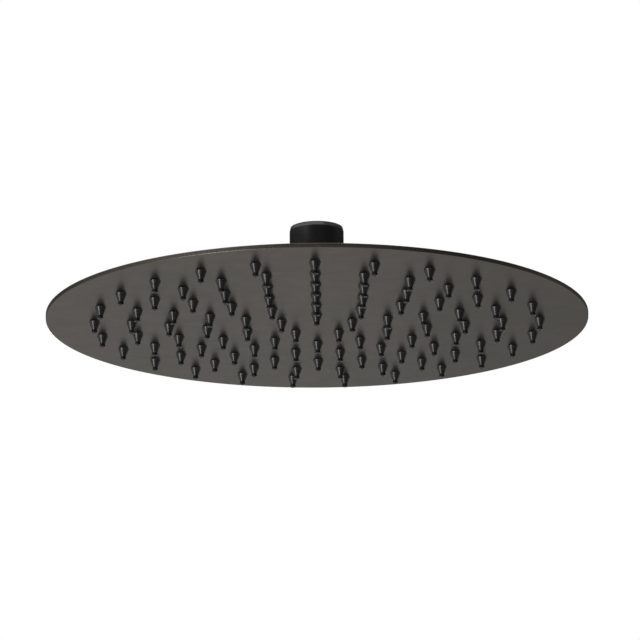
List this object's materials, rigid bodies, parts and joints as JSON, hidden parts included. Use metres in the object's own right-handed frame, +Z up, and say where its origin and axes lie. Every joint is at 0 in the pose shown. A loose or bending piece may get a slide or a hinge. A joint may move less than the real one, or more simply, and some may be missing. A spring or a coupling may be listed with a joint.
{
  "type": "shower head",
  "caption": "Ultra-slim round rain shower head with soft nozzles in rings below, hung on a ball swivel with a threaded inlet.",
  "frame": {"origin": "centre of the inlet socket's mouth, where the supply pipe screws in", "axes": "+Z points up out of the inlet towards the supply, the spray face looks down along -Z, and one nozzle of each ring lies straight in front along -Y"},
  "size_m": [0.25, 0.25, 0.0514],
  "materials": {
    "face_metal": "satin",
    "back_metal": "satin",
    "swivel_metal": "matte",
    "silicone": "satin",
    "seal_rubber": "matte",
    "polymer": "satin",
    "screen_steel": "satin"
  },
  "bodies": {
    "inlet": {"ball_inlet": "swivel_metal", "inlet_washer": "seal_rubber", "filter_screen": "screen_steel", "regulator_body": "polymer", "regulator_ring": "seal_rubber"},
    "slip": {"slip_ring": "polymer"},
    "seal": {"ball_seal": "seal_rubber"},
    "head": {"face_plate": "face_metal", "back_plate": "back_metal", "nozzles_ring_1": "silicone", "nozzles_ring_2": "silicone", "nozzles_ring_3": "silicone", "nozzles_ring_4": "silicone", "nozzles_ring_5": "silicone", "nozzles_ring_6": "silicone", "inlet_stub": "swivel_metal", "collar_nut": "swivel_metal"}
  },
  "joints": [
    {"name": "tilt_x", "type": "hinge", "parent": "inlet", "child": "slip", "pos_m": [0, 0, -0.0252], "axis": [1, 0, 0], "range_deg": [-12, 12]},
    {"name": "tilt_y", "type": "hinge", "parent": "slip", "child": "seal", "pos_m": [0, 0, -0.0252], "axis": [0, 1, 0], "range_deg": [-12, 12]},
    {"name": "spin", "type": "hinge", "parent": "seal", "child": "head", "pos_m": [0, 0, -0.0252], "axis": [0, 0, 1], "continuous": true}
  ]
}
